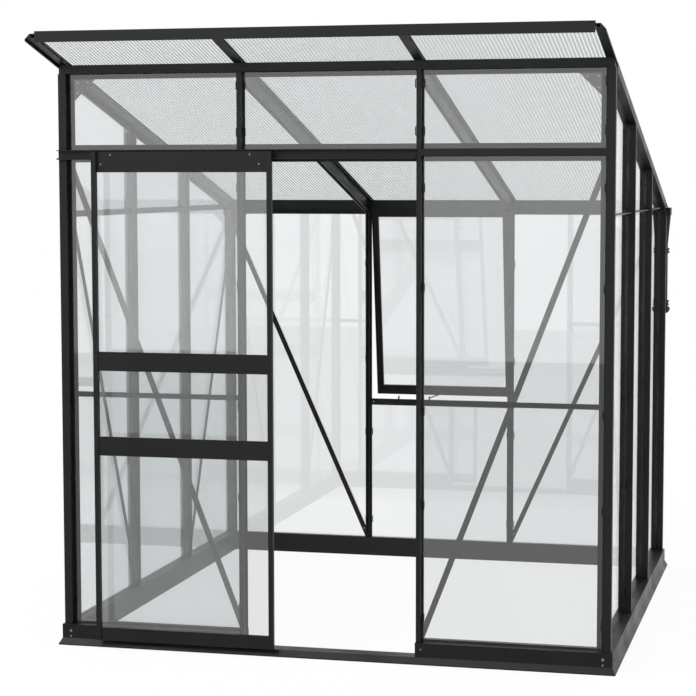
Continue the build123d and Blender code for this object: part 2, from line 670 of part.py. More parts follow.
def build_rails_and_braces():
    flanges = bays("front", SILL_DEPTH, FLANGE_WIDTH / 2)
    low = MID_RAIL - MID_RAIL_HEIGHT / 2
    rails = []
    for span in (flanges[0], flanges[2]):
        outline = rect(*span, low, low + MID_RAIL_HEIGHT)
        rails.append(slab("front", outline, FLANGE_DEPTH, BACK_DEPTH))
    save("front_rails", rails)
    save("left_rail", side_rails("left"))
    save("right_rail", side_rails("right"))
    span = bays("rear", SILL_DEPTH, FLANGE_WIDTH / 2)[1]
    sill_low = WINDOW_SILL - WINDOW_SILL_HEIGHT / 2
    sill = slab("rear", rect(*span, sill_low, sill_low + WINDOW_SILL_HEIGHT),
                FLANGE_DEPTH, BACK_DEPTH)
    sill += slab("rear", rect(*span, WINDOW_SILL - LIP / 2, WINDOW_SILL + LIP / 2),
                 FLANGE_DEPTH - LIP_DEPTH, FLANGE_DEPTH)
    save("window_sill_rail", sill)
    inner = BARS[1] + CHANNEL_WIDTH / 2
    corner = HALF - BACK_DEPTH - BRACE - 1
    foot = SILL + BRACE_WIDTH / 2
    top = HEADER_LOW - HEADER_LIP - BRACE_WIDTH
    front = brace("front", (-corner, top), (-inner, foot), BACK_DEPTH)
    save("front_braces", [front, mirror(front, about=Plane.YZ)])
    behind = BACK_DEPTH + GUSSET
    rear_top = REAR_BEAM_LOW - GUSSET_REAR / 2
    rear = brace("rear", (-corner, rear_top), (-inner, foot), behind)
    save("rear_braces", [rear, mirror(rear, about=Plane.YZ)])
    first = SIDE_BARS[0] - CHANNEL_WIDTH / 2
    second = SIDE_BARS[1] + CHANNEL_WIDTH / 2
    edge = BACK_DEPTH + GUSSET + 1
    left = [
        brace("left", (edge, SIDE_RAIL), (first, foot), BACK_DEPTH),
        brace("left", (DEPTH - edge, REAR_FLANGE_LOW - SIDE_FLANGE), (second, foot), BACK_DEPTH),
    ]
    save("left_braces", left)
    save("right_braces", [mirror(piece, about=Plane.YZ) for piece in left])
    front_gussets = gusset("front", GUSSET_FRONT, FRONT_BEAM_LOW)
    rear_gussets = gusset("rear", GUSSET_REAR, REAR_BEAM_LOW)
    save("corner_gussets", front_gussets + rear_gussets)


def build_roof():
    left = end_rafter()
    save("rafter_left_end", left)
    save("rafter_right_end", mirror(left, about=Plane.YZ))
    save("inner_rafters", [inner_rafter(x) for x in BARS])
    for name, sheet in roof_sheets().items():
        save("roof_sheet_" + name, sheet)
    save("roof_front_edge", roof_front_edge())
    save("gutter", gutter())
    save("downpipe", downpipe())


def build_glass():
    spans = bays("front", BACK_DEPTH, WEB_WIDTH / 2)
    low_top = level(HEADER_LOW - GLASS_GAP)
    save("front_glass", [pane("front", span, LEDGE, low_top) for span in (spans[0], spans[2])])
    high_top = level(FRONT_BEAM_LOW - GLASS_GAP)
    save("transom_glass", [pane("front", span, HEADER_HIGH, high_top) for span in spans])
    rear_top = level(REAR_BEAM_LOW - GLASS_GAP)
    rear = [pane("rear", span, LEDGE, rear_top) for span in (spans[0], spans[2])]
    rear.append(pane("rear", spans[1], LEDGE, level(WINDOW_SILL - LIP / 2)))
    save("rear_glass", rear)
    save("left_glass", side_glass("left"))
    save("right_glass", side_glass("right"))


def build_window():
    rails, stiles, glass, foot = window_parts()
    save("window_rails", rails)
    save("window_stiles", stiles)
    save("window_glass", glass)
    save("window_stay", window_stay(foot))


def build_door():
    stiles, head, rails, kick, panes, rollers = door_parts()
    save("door_stiles", stiles)
    save("door_head_plate", head)
    save("door_mid_rails", rails)
    save("door_kick_plate", kick)
    save("door_glass", panes)
    save("door_rollers", rollers)


def main():
    os.makedirs("parts", exist_ok=True)
    build_base()
    build_frame()
    build_rails_and_braces()
    build_roof()
    build_glass()
    build_window()
    build_door()


main()
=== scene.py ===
"""Finish and small hardware of a glass greenhouse, built around its fixed frame."""
import math
from collections import namedtuple

import bpy
from mathutils import Matrix, Vector


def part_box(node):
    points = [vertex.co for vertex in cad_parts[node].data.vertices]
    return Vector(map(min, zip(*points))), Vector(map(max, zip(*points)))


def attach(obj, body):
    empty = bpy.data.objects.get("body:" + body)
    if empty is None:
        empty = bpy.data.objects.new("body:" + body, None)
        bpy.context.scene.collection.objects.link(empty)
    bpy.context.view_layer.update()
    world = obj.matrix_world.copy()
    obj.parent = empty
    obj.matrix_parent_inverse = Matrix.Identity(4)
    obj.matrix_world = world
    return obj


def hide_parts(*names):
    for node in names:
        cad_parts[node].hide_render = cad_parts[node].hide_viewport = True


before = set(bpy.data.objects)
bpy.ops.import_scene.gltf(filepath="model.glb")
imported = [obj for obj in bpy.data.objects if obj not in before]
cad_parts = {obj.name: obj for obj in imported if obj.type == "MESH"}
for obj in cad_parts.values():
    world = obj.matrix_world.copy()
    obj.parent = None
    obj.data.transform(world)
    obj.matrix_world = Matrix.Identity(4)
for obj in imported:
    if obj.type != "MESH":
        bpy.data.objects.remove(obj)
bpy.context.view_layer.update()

bl_info = {
    "name": "Glass Greenhouse Finish",
    "version": (1, 0, 0),
    "blender": (4, 5, 0),
    "location": "3D Viewport > Sidebar > Greenhouse",
    "description": "Powder coat, panes, twin-wall roof and small hardware of a glass greenhouse",
    "category": "Object",
}

MM = 0.001

# The overall forms of the frame, read from its nodes
FRONT_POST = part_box("post_front_left")
REAR_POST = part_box("post_rear_left")
LEFT = FRONT_POST[0].x
RIGHT = -LEFT
FRONT = FRONT_POST[0].y
REAR = REAR_POST[1].y
SIDE_MIDDLE = (FRONT + REAR) / 2
BARS = (-312 * MM, 312 * MM)    # glazing bars, from the middle of each wall
POST_FACE = 28 * MM
BAR_HALF = 8 * MM

PLASTIC_NODES = ("door_rollers",)
REPLACED_NODES = ("downpipe",)
FRAME_NODES = [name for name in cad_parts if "glass" not in name and "sheet" not in name
               and name not in PLASTIC_NODES and name not in REPLACED_NODES]
GLASS_NODES = [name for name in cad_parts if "glass" in name]


class GreenhouseSizes(bpy.types.PropertyGroup):
    """Sizes of the small pieces."""

    flute_pitch: bpy.props.FloatProperty(
        name="Flute pitch", description="Distance between two walls inside a roof sheet",
        default=12.3 * MM, min=4 * MM, unit="LENGTH", precision=4)
    clip_height: bpy.props.FloatProperty(
        name="Clip height", description="Height of a glazing clip",
        default=30 * MM, min=15 * MM, unit="LENGTH", precision=4)
    sheet_wall: bpy.props.FloatProperty(
        name="Sheet wall", description="Thickness of the walls of a roof sheet",
        default=0.6 * MM, min=0.2 * MM, unit="LENGTH", precision=4)


class GreenhouseColours(bpy.types.PropertyGroup):
    """Colours of the finishes."""

    coat: bpy.props.FloatVectorProperty(
        name="Powder coat", description="Colour of the metal frame", subtype="COLOR",
        size=3, min=0, max=1, default=(0.0075, 0.008, 0.0077))
    steel: bpy.props.FloatVectorProperty(
        name="Zinc", description="Colour of bolts and screws", subtype="COLOR",
        size=3, min=0, max=1, default=(0.3, 0.31, 0.31))
    plastic: bpy.props.FloatVectorProperty(
        name="Plastic", description="Colour of the downpipe and the rollers", subtype="COLOR",
        size=3, min=0, max=1, default=(0.009, 0.009, 0.0095))
    glass: bpy.props.FloatVectorProperty(
        name="Glass", description="What a face of a pane lets through", subtype="COLOR",
        size=3, min=0, max=1, default=(0.948, 0.957, 0.96))


def sizes():
    return bpy.context.scene.greenhouse_sizes


def colours():
    return bpy.context.scene.greenhouse_colours


# Node materials

NOISE_SPAN = (0.35, 0.65)       # a noise texture seldom leaves it
WHITE = (1, 1, 1, 1)


def new_material(name):
    """Empty node material with its output and Object coordinates."""
    material = bpy.data.materials.new(name)
    material.use_nodes = True
    tree = material.node_tree
    tree.nodes.clear()
    output = tree.nodes.new("ShaderNodeOutputMaterial")
    coords = tree.nodes.new("ShaderNodeTexCoord")
    return material, tree, output, coords.outputs["Object"]


def noise(tree, coords, scale, detail):
    node = tree.nodes.new("ShaderNodeTexNoise")
    node.inputs["Scale"].default_value = scale
    node.inputs["Detail"].default_value = detail
    tree.links.new(coords, node.inputs["Vector"])
    return node.outputs["Fac"]


def carried(tree, value, span, target):
    """Carries a value over from one span of numbers to another."""
    node = tree.nodes.new("ShaderNodeMapRange")
    for socket, number in zip(("From Min", "From Max", "To Min", "To Max"), (*span, *target)):
        node.inputs[socket].default_value = number
    tree.links.new(value, node.inputs["Value"])
    return node.outputs["Result"]


def shades(tree, value, dark, light):
    """Colour between two shades, led by a noise value."""
    node = tree.nodes.new("ShaderNodeValToRGB")
    for element, position, colour in zip(node.color_ramp.elements, NOISE_SPAN, (dark, light)):
        element.position = position
        element.color = (*colour, 1)
    tree.links.new(value, node.inputs["Fac"])
    return node.outputs["Color"]


def scaled(colour, share):
    return tuple(channel * share for channel in colour)


def bump(tree, height, strength):
    node = tree.nodes.new("ShaderNodeBump")
    node.inputs["Strength"].default_value = strength
    node.inputs["Distance"].default_value = 0.2 * MM
    tree.links.new(height, node.inputs["Height"])
    return node.outputs["Normal"]


def opaque(tree, links, values):
    """Principled shader with some sockets led by other nodes and some set."""
    shader = tree.nodes.new("ShaderNodeBsdfPrincipled")
    for socket, source in links.items():
        tree.links.new(source, shader.inputs[socket])
    for socket, value in values.items():
        shader.inputs[socket].default_value = value
    return shader


def mixed(tree, share, first, second):
    """Mix of two shaders, by a number or by another node's value."""
    mix = tree.nodes.new("ShaderNodeMixShader")
    if isinstance(share, float):
        mix.inputs[0].default_value = share
    else:
        tree.links.new(share, mix.inputs[0])
    tree.links.new(first.outputs[0], mix.inputs[1])
    tree.links.new(second.outputs[0], mix.inputs[2])
    return mix


def powder_coat(name, colour, rough=(0.36, 0.5)):
    """Satin powder coat: orange peel, a faint cloudiness and duller patches."""
    material, tree, output, coords = new_material(name)
    cloud = noise(tree, coords, scale=5.0, detail=3.0)
    peel = noise(tree, coords, scale=700.0, detail=1.0)
    shader = opaque(tree, {
        "Base Color": shades(tree, cloud, dark=scaled(colour, 0.86), light=scaled(colour, 1.16)),
        "Roughness": carried(tree, cloud, NOISE_SPAN, rough),
        "Normal": bump(tree, peel, strength=0.25),
    }, {"Specular IOR Level": 0.3})
    tree.links.new(shader.outputs[0], output.inputs["Surface"])
    return material


def zinc(name, colour):
    """Zinc-plated steel with a fine grain and duller patches."""
    material, tree, output, coords = new_material(name)
    grain = noise(tree, coords, scale=900.0, detail=2.0)
    shader = opaque(tree, {
        "Base Color": shades(tree, grain, dark=scaled(colour, 0.7), light=scaled(colour, 1.25)),
        "Roughness": carried(tree, grain, NOISE_SPAN, (0.3, 0.5)),
    }, {"Metallic": 0.85})
    tree.links.new(shader.outputs[0], output.inputs["Surface"])
    return material


def moulded_plastic(name, colour):
    """Matt moulded plastic: fine pitting and a faint change of shade."""
    material, tree, output, coords = new_material(name)
    cloud = noise(tree, coords, scale=14.0, detail=2.0)
    pits = noise(tree, coords, scale=450.0, detail=2.0)
    shader = opaque(tree, {
        "Base Color": shades(tree, cloud, dark=scaled(colour, 0.8), light=scaled(colour, 1.3)),
        "Roughness": carried(tree, pits, NOISE_SPAN, (0.42, 0.6)),
        "Normal": bump(tree, pits, strength=0.3),
    }, {"Specular IOR Level": 0.35})
    tree.links.new(shader.outputs[0], output.inputs["Surface"])
    return material


MIRROR_STRAIGHT_ON = 0.126      # share that a face of a pane mirrors, looked at straight on
MIRROR_RISE = 5.0


def mirror_share(tree, straight):
    """How much of a face mirrors: straight on, and rising to all of it at flat angles."""
    weight = tree.nodes.new("ShaderNodeLayerWeight")
    weight.inputs["Blend"].default_value = 0.5
    power = tree.nodes.new("ShaderNodeMath")
    power.operation = "POWER"
    power.inputs[1].default_value = MIRROR_RISE
    tree.links.new(weight.outputs["Facing"], power.inputs[0])
    return carried(tree, power.outputs[0], (0, 1), (straight, 1))


def pane_glass(name, tint):
    """Clear float glass: a pale tint, a mirror that grows at flat angles and a faint cloud."""
    material, tree, output, coords = new_material(name)
    through = tree.nodes.new("ShaderNodeBsdfTransparent")
    cloud = noise(tree, coords, scale=1.5, detail=1.0)
    tree.links.new(shades(tree, cloud, dark=scaled(tint, 0.985), light=tint),
                   through.inputs["Color"])
    mirror = tree.nodes.new("ShaderNodeBsdfGlossy")
    mirror.inputs["Roughness"].default_value = 0.01
    mirror.inputs["Color"].default_value = WHITE
    glass = mixed(tree, mirror_share(tree, MIRROR_STRAIGHT_ON), through, mirror)
    tree.links.new(glass.outputs[0], output.inputs["Surface"])
    return material


def sheet_plastic(name, clear, milky):
    """Twin-wall plastic: how much light goes straight through a face, and how milky it is."""
    material, tree, output, coords = new_material(name)
    cloud = noise(tree, coords, scale=30.0, detail=2.0)
    through = tree.nodes.new("ShaderNodeBsdfTransparent")
    tree.links.new(shades(tree, cloud, dark=scaled(clear, 0.99), light=clear),
                   through.inputs["Color"])
    haze = shades(tree, cloud, dark=(0.8, 0.82, 0.82), light=(0.9, 0.92, 0.92))
    body = opaque(tree, {"Base Color": haze}, {"Roughness": 0.2})
    sheet = mixed(tree, milky, through, body)
    tree.links.new(sheet.outputs[0], output.inputs["Surface"])
    return material


def dress(node, material):
    """Gives a frame node another material without touching its mesh."""
    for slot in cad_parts[node].material_slots:
        slot.link = "OBJECT"
        slot.material = material


# Mesh work

ALIGNED = 0.9                   # share of a direction from which it counts as along an axis


def deselect():
    bpy.ops.object.select_all(action="DESELECT")


def new_box(width, depth, height):
    """Box about the origin, made from a cube, with its size in its mesh."""
    deselect()
    bpy.ops.mesh.primitive_cube_add(size=1, location=(0, 0, 0))
    box = bpy.context.object
    box.scale = (width, depth, height)
    bpy.ops.object.transform_apply(location=False, rotation=False, scale=True)
    return box


def choose(piece, kind, test):
    """Selects faces or edges by their place or direction and stays in edit mode."""
    bpy.ops.object.mode_set(mode="EDIT")
    bpy.ops.mesh.select_mode(type=kind)
    bpy.ops.mesh.select_all(action="DESELECT")
    bpy.ops.object.mode_set(mode="OBJECT")
    for item in (piece.data.polygons if kind == "FACE" else piece.data.edges):
        item.select = test(item)
    bpy.ops.object.mode_set(mode="EDIT")


def runs_along_depth(piece):
    """Test for edges that run through the thickness of a piece."""
    points = piece.data.vertices

    def test(edge):
        first, second = (points[index].co for index in edge.vertices)
        return abs(first.y - second.y) > ALIGNED * (second - first).length
    return test


def finish_piece(piece, name, material, body):
    """Puts the piece's place into its mesh, names it and hands it to its body.

    A piece that already carries its materials is given none."""
    piece.name = name
    piece.data.name = name
    piece.data.transform(piece.matrix_world)
    piece.matrix_world = Matrix.Identity(4)
    if material:
        piece.data.materials.clear()
        piece.data.materials.append(material)
    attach(piece, body)
    return piece


def copies_joined(master, places, name, material, body):
    """Copies a master to its places, each with its own mesh, and joins them to one piece."""
    deselect()
    copies = []
    for place in places:
        copy = master.copy()
        copy.data = master.data.copy()
        copy.matrix_world = place @ master.matrix_world
        bpy.context.collection.objects.link(copy)
        copy.select_set(True)
        copies.append(copy)
    bpy.context.view_layer.objects.active = copies[0]
    bpy.ops.object.join()
    return finish_piece(bpy.context.object, name, material, body)


def drop(master):
    """Removes a master once its copies are made."""
    deselect()
    master.select_set(True)
    bpy.ops.object.delete()


# Places on the walls; a master faces -Y, as the front wall does

FACE_INWARD = Matrix.Rotation(math.pi, 4, "Z")
BOTH_ENDS = (-1, 1)


def wall_place(wall, along, depth, height):
    """Place on a wall: position along it, depth behind the posts' outer face, height."""
    if wall == "front":
        return Matrix.Translation((along, FRONT + depth, height))
    if wall == "rear":
        return Matrix.Translation((along, REAR - depth, height)) @ Matrix.Rotation(math.pi, 4, "Z")
    if wall == "left":
        return (Matrix.Translation((LEFT + depth, along, height))
                @ Matrix.Rotation(-math.pi / 2, 4, "Z"))
    return (Matrix.Translation((RIGHT - depth, along, height))
            @ Matrix.Rotation(math.pi / 2, 4, "Z"))


class GREENHOUSE_OT_frame_finish(bpy.types.Operator):
    """Coats the metal frame and gives the rollers their plastic"""

    bl_idname = "greenhouse.frame_finish"
    bl_label = "Frame finish"

    def execute(self, context):
        coat = powder_coat("satin_powder_coat", colours().coat)
        for node in FRAME_NODES:
            dress(node, coat)
        plastic = moulded_plastic("roller_plastic", colours().plastic)
        for node in PLASTIC_NODES:
            dress(node, plastic)
        return {"FINISHED"}


class GREENHOUSE_OT_glass_finish(bpy.types.Operator):
    """Gives all panes their glass"""

    bl_idname = "greenhouse.glass_finish"
    bl_label = "Glass finish"

    def execute(self, context):
        glass = pane_glass("pane_glass", colours().glass)
        for node in GLASS_NODES:
            dress(node, glass)
        return {"FINISHED"}


# Roof sheets and what carries them

SHEETS = ("roof_sheet_left", "roof_sheet_middle", "roof_sheet_right")
SHEET_NODE_THICK = 10 * MM
SHEET_SKIN_CLEAR = 0.2 * MM     # from the skin to the CAD sheet's face
WEB_FOOT = 4.3 * MM             # greyer strip of skin along each inner wall
SKIN_INDEX, FOOT_INDEX, WEB_INDEX = range(3)


def sheet_slope():
    """Fall of the roof over its run, from one sheet's box."""
    low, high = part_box(SHEETS[0])
    return (high.z - low.z - SHEET_NODE_THICK) / (high.y - low.y)


def sheet_cell(pitch, length, height, materials):
    """Cell of a sheet without ends: skins, a strip of each beside the web, and the web."""
    cell = new_box(pitch, length, height)
    choose(cell, "FACE",
           lambda face: abs(face.normal.y) > ALIGNED or face.normal.x > ALIGNED)
    bpy.ops.mesh.delete(type="FACE")
    bpy.ops.mesh.select_all(action="SELECT")
    strip_edge = WEB_FOOT - pitch / 2
    bpy.ops.mesh.bisect(plane_co=(strip_edge, 0, 0), plane_no=(1, 0, 0))
    bpy.ops.object.mode_set(mode="OBJECT")
    for material in materials:
        cell.data.materials.append(material)
    for polygon in cell.data.polygons:
        if abs(polygon.normal.x) > ALIGNED:
            polygon.material_index = WEB_INDEX
        elif polygon.center.x < strip_edge:
            polygon.material_index = FOOT_INDEX
        else:
            polygon.material_index = SKIN_INDEX
    return cell


def fluted_sheet(node, materials):
    """One twin-wall sheet: a cell given a wall and repeated over the width."""
    low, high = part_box(node)
    angle = math.atan(sheet_slope())
    length = (high.y - low.y) / math.cos(angle) - 2 * SHEET_NODE_THICK * math.sin(angle)
    width = high.x - low.x
    cells = int(width / sizes().flute_pitch)
    pitch = (width - 2 * SHEET_SKIN_CLEAR) / cells
    height = SHEET_NODE_THICK * math.cos(angle) - 2 * SHEET_SKIN_CLEAR
    cell = sheet_cell(pitch, length, height, materials)
    solid = cell.modifiers.new("wall", "SOLIDIFY")
    solid.thickness = sizes().sheet_wall
    solid.offset = -1
    array = cell.modifiers.new("cells", "ARRAY")
    array.count = cells
    array.use_relative_offset = False
    array.use_constant_offset = True
    array.constant_offset_displace = (pitch, 0, 0)
    for modifier in ("wall", "cells"):
        bpy.ops.object.modifier_apply(modifier=modifier)
    start = low.x + SHEET_SKIN_CLEAR + pitch / 2
    middle = (low + high) / 2
    cell.matrix_world = (Matrix.Translation((start, middle.y, middle.z))
                         @ Matrix.Rotation(-angle, 4, "X"))
    piece = finish_piece(cell, node + "_fluted", None, "frame")
    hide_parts(node)
    return piece


class GREENHOUSE_OT_roof_sheets(bpy.types.Operator):
    """Builds the three twin-wall roof sheets"""

    bl_idname = "greenhouse.roof_sheets"
    bl_label = "Roof sheets"

    def execute(self, context):
        materials = (
            sheet_plastic("twin_wall_skin", clear=(0.975, 0.98, 0.98), milky=0.03),
            sheet_plastic("twin_wall_web_foot", clear=(0.8, 0.81, 0.81), milky=0.03),
            sheet_plastic("twin_wall_web", clear=(0.975, 0.98, 0.98), milky=0.02),
        )
        for node in SHEETS:
            fluted_sheet(node, materials)
        return {"FINISHED"}


ROOF_OVER_BEAM = 3 * MM         # roof line over the top of the front eave beam
BEAM_DEPTH = 50 * MM
RAFTER_DEEP_WIDTH = 20 * MM
RAFTER_DEEP_TOP = 21 * MM       # below the roof line, where the CAD channel ends
RAFTER_DEEP_LOW = 56 * MM
RAFTER_SLOT_RIM = 5 * MM
RAFTER_SLOT_DEEP = 12 * MM


class GREENHOUSE_OT_rafter_channels(bpy.types.Operator):
    """Deepens the inner rafters between the eave beams with a slotted channel"""

    bl_idname = "greenhouse.rafter_channels"
    bl_label = "Rafter channels"

    def execute(self, context):
        coat = powder_coat("rafter_channel_coat", colours().coat)
        slope = sheet_slope()
        run = REAR - FRONT - 2 * BEAM_DEPTH
        channel = new_box(RAFTER_DEEP_WIDTH, run, RAFTER_DEEP_LOW - RAFTER_DEEP_TOP)
        choose(channel, "FACE", lambda face: face.normal.z < -ALIGNED)
        bpy.ops.mesh.inset(thickness=RAFTER_SLOT_RIM)
        bpy.ops.mesh.extrude_region_move(
            TRANSFORM_OT_translate={"value": (0, 0, RAFTER_SLOT_DEEP)})
        bpy.ops.object.mode_set(mode="OBJECT")
        for vertex in channel.data.vertices:
            vertex.co.z -= slope * vertex.co.y
        roof_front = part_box("front_eave_beam")[1].z + ROOF_OVER_BEAM
        roof_middle = roof_front - slope * (REAR - FRONT) / 2
        height = roof_middle - (RAFTER_DEEP_TOP + RAFTER_DEEP_LOW) / 2
        places = [Matrix.Translation((bar, SIDE_MIDDLE, height)) for bar in BARS]
        copies_joined(channel, places, "rafter_deep_channels", coat, "frame")
        drop(channel)
        return {"FINISHED"}


# Glazing clips; their heights and all places below are in metres

GLASS_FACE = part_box("front_glass")[0].y - FRONT
CLIP_WIDTH = 9 * MM
CLIP_THICK = 3 * MM
CLIP_RIM = 3 * MM
CLIP_CORNER = 2.6 * MM
LOW_CLIPS = (0.156, 0.542, 0.861, 1.278)
FRONT_LOW_CLIPS = (*LOW_CLIPS, 1.611)
TRANSOM_CLIPS = (1.800, 1.958)
SIDE_LOW_CLIPS = (*LOW_CLIPS, 1.44)
SIDE_HIGH_CLIPS = (1.62,)
SILL_CLIPS = (0.156, 0.542)
MIDDLE_BAY = (2, 3)             # the two sides of the middle bay, of the six of a wall
REAR_EDGE = 5                   # side beside the low rear post, of the six of a side wall


def clip_sides(first, last, bars):
    """Six places beside the posts and bars of a wall, by bay."""
    edges = (first, bars[0] - BAR_HALF, bars[0] + BAR_HALF, bars[1] - BAR_HALF,
             bars[1] + BAR_HALF, last)
    half = CLIP_WIDTH / 2
    return [edge + (half if index % 2 == 0 else -half) for index, edge in enumerate(edges)]


def clip_spots():
    """Positions along each wall and heights of its clips."""
    spots = {"front": [], "rear": [], "left": [], "right": []}
    across = clip_sides(LEFT + POST_FACE, RIGHT - POST_FACE, BARS)
    for index, along in enumerate(across):
        low = () if index in MIDDLE_BAY else FRONT_LOW_CLIPS
        spots["front"] += [(along, height) for height in (*low, *TRANSOM_CLIPS)]
        low = SILL_CLIPS if index in MIDDLE_BAY else LOW_CLIPS
        spots["rear"] += [(along, height) for height in low]
    deep = clip_sides(FRONT + POST_FACE, REAR - POST_FACE, [SIDE_MIDDLE + bar for bar in BARS])
    for index, along in enumerate(deep):
        low = SIDE_LOW_CLIPS if index < REAR_EDGE else LOW_CLIPS
        high = SIDE_HIGH_CLIPS if index < REAR_EDGE - 1 else ()
        for wall in ("left", "right"):
            spots[wall] += [(along, height) for height in (*low, *high)]
    return spots


def glazing_clip():
    """Bent strip with rounded corners, open in its middle."""
    clip = new_box(CLIP_WIDTH, CLIP_THICK, sizes().clip_height)
    choose(clip, "EDGE", runs_along_depth(clip))
    bpy.ops.mesh.bevel(offset=CLIP_CORNER, segments=3, affect="EDGES")
    choose(clip, "FACE", lambda face: abs(face.normal.y) > ALIGNED)
    bpy.ops.mesh.inset(thickness=CLIP_RIM, use_individual=True)
    bpy.ops.mesh.bridge_edge_loops()
    bpy.ops.object.mode_set(mode="OBJECT")
    return clip


class GREENHOUSE_OT_glazing_clips(bpy.types.Operator):
    """Sets the glazing clips beside the posts and bars of each wall"""

    bl_idname = "greenhouse.glazing_clips"
    bl_label = "Glazing clips"

    def execute(self, context):
        coat = powder_coat("clip_coat", scaled(colours().coat, 0.6), rough=(0.3, 0.42))
        depth = GLASS_FACE - CLIP_THICK / 2
        clip = glazing_clip()
        for wall, places in clip_spots().items():
            matrices = [wall_place(wall, along, depth, height) for along, height in places]
            copies_joined(clip, matrices, "glazing_clips_" + wall, coat, "frame")
        drop(clip)
        return {"FINISHED"}


# Bolts and screws: position along the wall from its middle, height and, where three, size

BOLT_RADIUS = 5 * MM
BOLT_SIDES = 18
WASHER_THICK = 1.2 * MM
WASHER_RIM = 0.28 * BOLT_RADIUS
HEAD_THICK = 2.2 * MM
HEAD_FLANK = 0.6                # share of the head's thickness with upright sides
HEAD_TOP = 0.62                 # width of the head's top against its sides
SMALL_BOLT = Matrix.Scale(0.75, 4)
SCREW = Matrix.Scale(0.6, 4)
BASE_PLATE = -7 * MM            # outer face of the base, in front of the posts
PLATE_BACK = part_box("corner_gussets")[0].y - FRONT
GUSSET_BACK = PLATE_BACK + 3 * MM
BRACE_THICK = 4 * MM
BRACE_BACKS = {"front": PLATE_BACK + BRACE_THICK, "rear": GUSSET_BACK + BRACE_THICK}
WALL_MIDDLES = {"front": 0.0, "rear": 0.0, "left": SIDE_MIDDLE, "right": SIDE_MIDDLE}
BASE_BOLTS = ((0.940, 0.050, 1.0), (0.940, 0.031, 0.7))
DOORWAY_BOLT = (0.322, 0.051, 0.6)
GUSSET_BOLTS = {"front": ((0.905, 1.975), (0.868, 1.975), (0.905, 1.938)),
                "rear": ((0.905, 1.479), (0.872, 1.479), (0.905, 1.447))}
BRACE_BOLTS = {"front": ((0.917, 1.648), (0.331, 0.121)),
               "rear": ((0.917, 1.434), (0.331, 0.117))}
SILL_RAIL_BOLT = (0.290, 0.674)
HEAD_SCREWS = ((-0.765, 1.724), (-0.265, 1.724), (-0.800, 1.692), (-0.233, 1.692))
# Along from the front posts' outer face
SIDE_BRACE_BOLTS = ((0.047, 1.492), (0.634, 0.118), (1.883, 1.409), (1.296, 0.116))


def pan_head_bolt():
    """Washer with a rounded head on it, its face towards -Y."""
    deselect()
    bpy.ops.mesh.primitive_cylinder_add(vertices=BOLT_SIDES, radius=BOLT_RADIUS,
                                        depth=WASHER_THICK, location=(0, 0, WASHER_THICK / 2))
    bolt = bpy.context.object
    bpy.ops.object.transform_apply(location=True, rotation=True, scale=True)
    choose(bolt, "FACE", lambda face: face.normal.z > ALIGNED)
    bpy.ops.mesh.inset(thickness=WASHER_RIM)
    for share in (HEAD_FLANK, 1 - HEAD_FLANK):
        bpy.ops.mesh.extrude_region_move(
            TRANSFORM_OT_translate={"value": (0, 0, HEAD_THICK * share)})
    bpy.ops.transform.resize(value=(HEAD_TOP, HEAD_TOP, 1), center_override=(0, 0, WASHER_THICK))
    bpy.ops.object.mode_set(mode="OBJECT")
    bpy.ops.object.shade_smooth_by_angle(angle=0.5)
    bolt.matrix_world = Matrix.Rotation(math.pi / 2, 4, "X")
    bpy.ops.object.transform_apply(location=True, rotation=True, scale=True)
    return bolt


def base_bolt_places():
    """Two bolts at each end of each base profile and one beside the doorway."""
    places = []
    for wall, middle in WALL_MIDDLES.items():
        for along, height, size in BASE_BOLTS:
            for way in BOTH_ENDS:
                place = wall_place(wall, middle + way * along, BASE_PLATE, height)
                places.append(place @ Matrix.Scale(size, 4))
    along, height, size = DOORWAY_BOLT
    places.append(wall_place("front", along, BASE_PLATE, height) @ Matrix.Scale(size, 4))
    return places


def frame_bolt_places():
    """Bolts of the gussets, on both faces, and of the braces and the rail, on the inner one."""
    places = []
    inward = FACE_INWARD @ SMALL_BOLT
    for wall, brace_back in BRACE_BACKS.items():
        for way in BOTH_ENDS:
            for along, height in GUSSET_BOLTS[wall]:
                places.append(wall_place(wall, way * along, PLATE_BACK, height) @ SMALL_BOLT)
                places.append(wall_place(wall, way * along, GUSSET_BACK, height) @ inward)
            for along, height in BRACE_BOLTS[wall]:
                places.append(wall_place(wall, way * along, brace_back, height) @ inward)
    for wall in ("left", "right"):
        for along, height in SIDE_BRACE_BOLTS:
            places.append(wall_place(wall, FRONT + along, BRACE_BACKS["front"], height) @ inward)
    along, height = SILL_RAIL_BOLT
    for way in BOTH_ENDS:
        places.append(wall_place("rear", way * along, PLATE_BACK, height) @ inward)
    return places


def head_screw_places():
    """Screws on the face of the door's head plate."""
    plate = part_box("door_head_plate")[0].y - FRONT
    return [wall_place("front", along, plate, height) @ SCREW for along, height in HEAD_SCREWS]


class GREENHOUSE_OT_bolts(bpy.types.Operator):
    """Sets the bolts of the base, gussets, braces and window rail, and the door's screws"""

    bl_idname = "greenhouse.bolts"
    bl_label = "Bolts and screws"

    def execute(self, context):
        steel = zinc("zinc_bolts", colours().steel)
        bolt = pan_head_bolt()
        copies_joined(bolt, base_bolt_places(), "base_bolts", steel, "frame")
        copies_joined(bolt, frame_bolt_places(), "frame_bolts", steel, "frame")
        copies_joined(bolt, head_screw_places(), "door_head_screws", steel, "door")
        drop(bolt)
        return {"FINISHED"}


# Downpipe, drawn as rings: half-widths in x and y, height, and shift in x

Ring = namedtuple("Ring", "wide deep height shift")

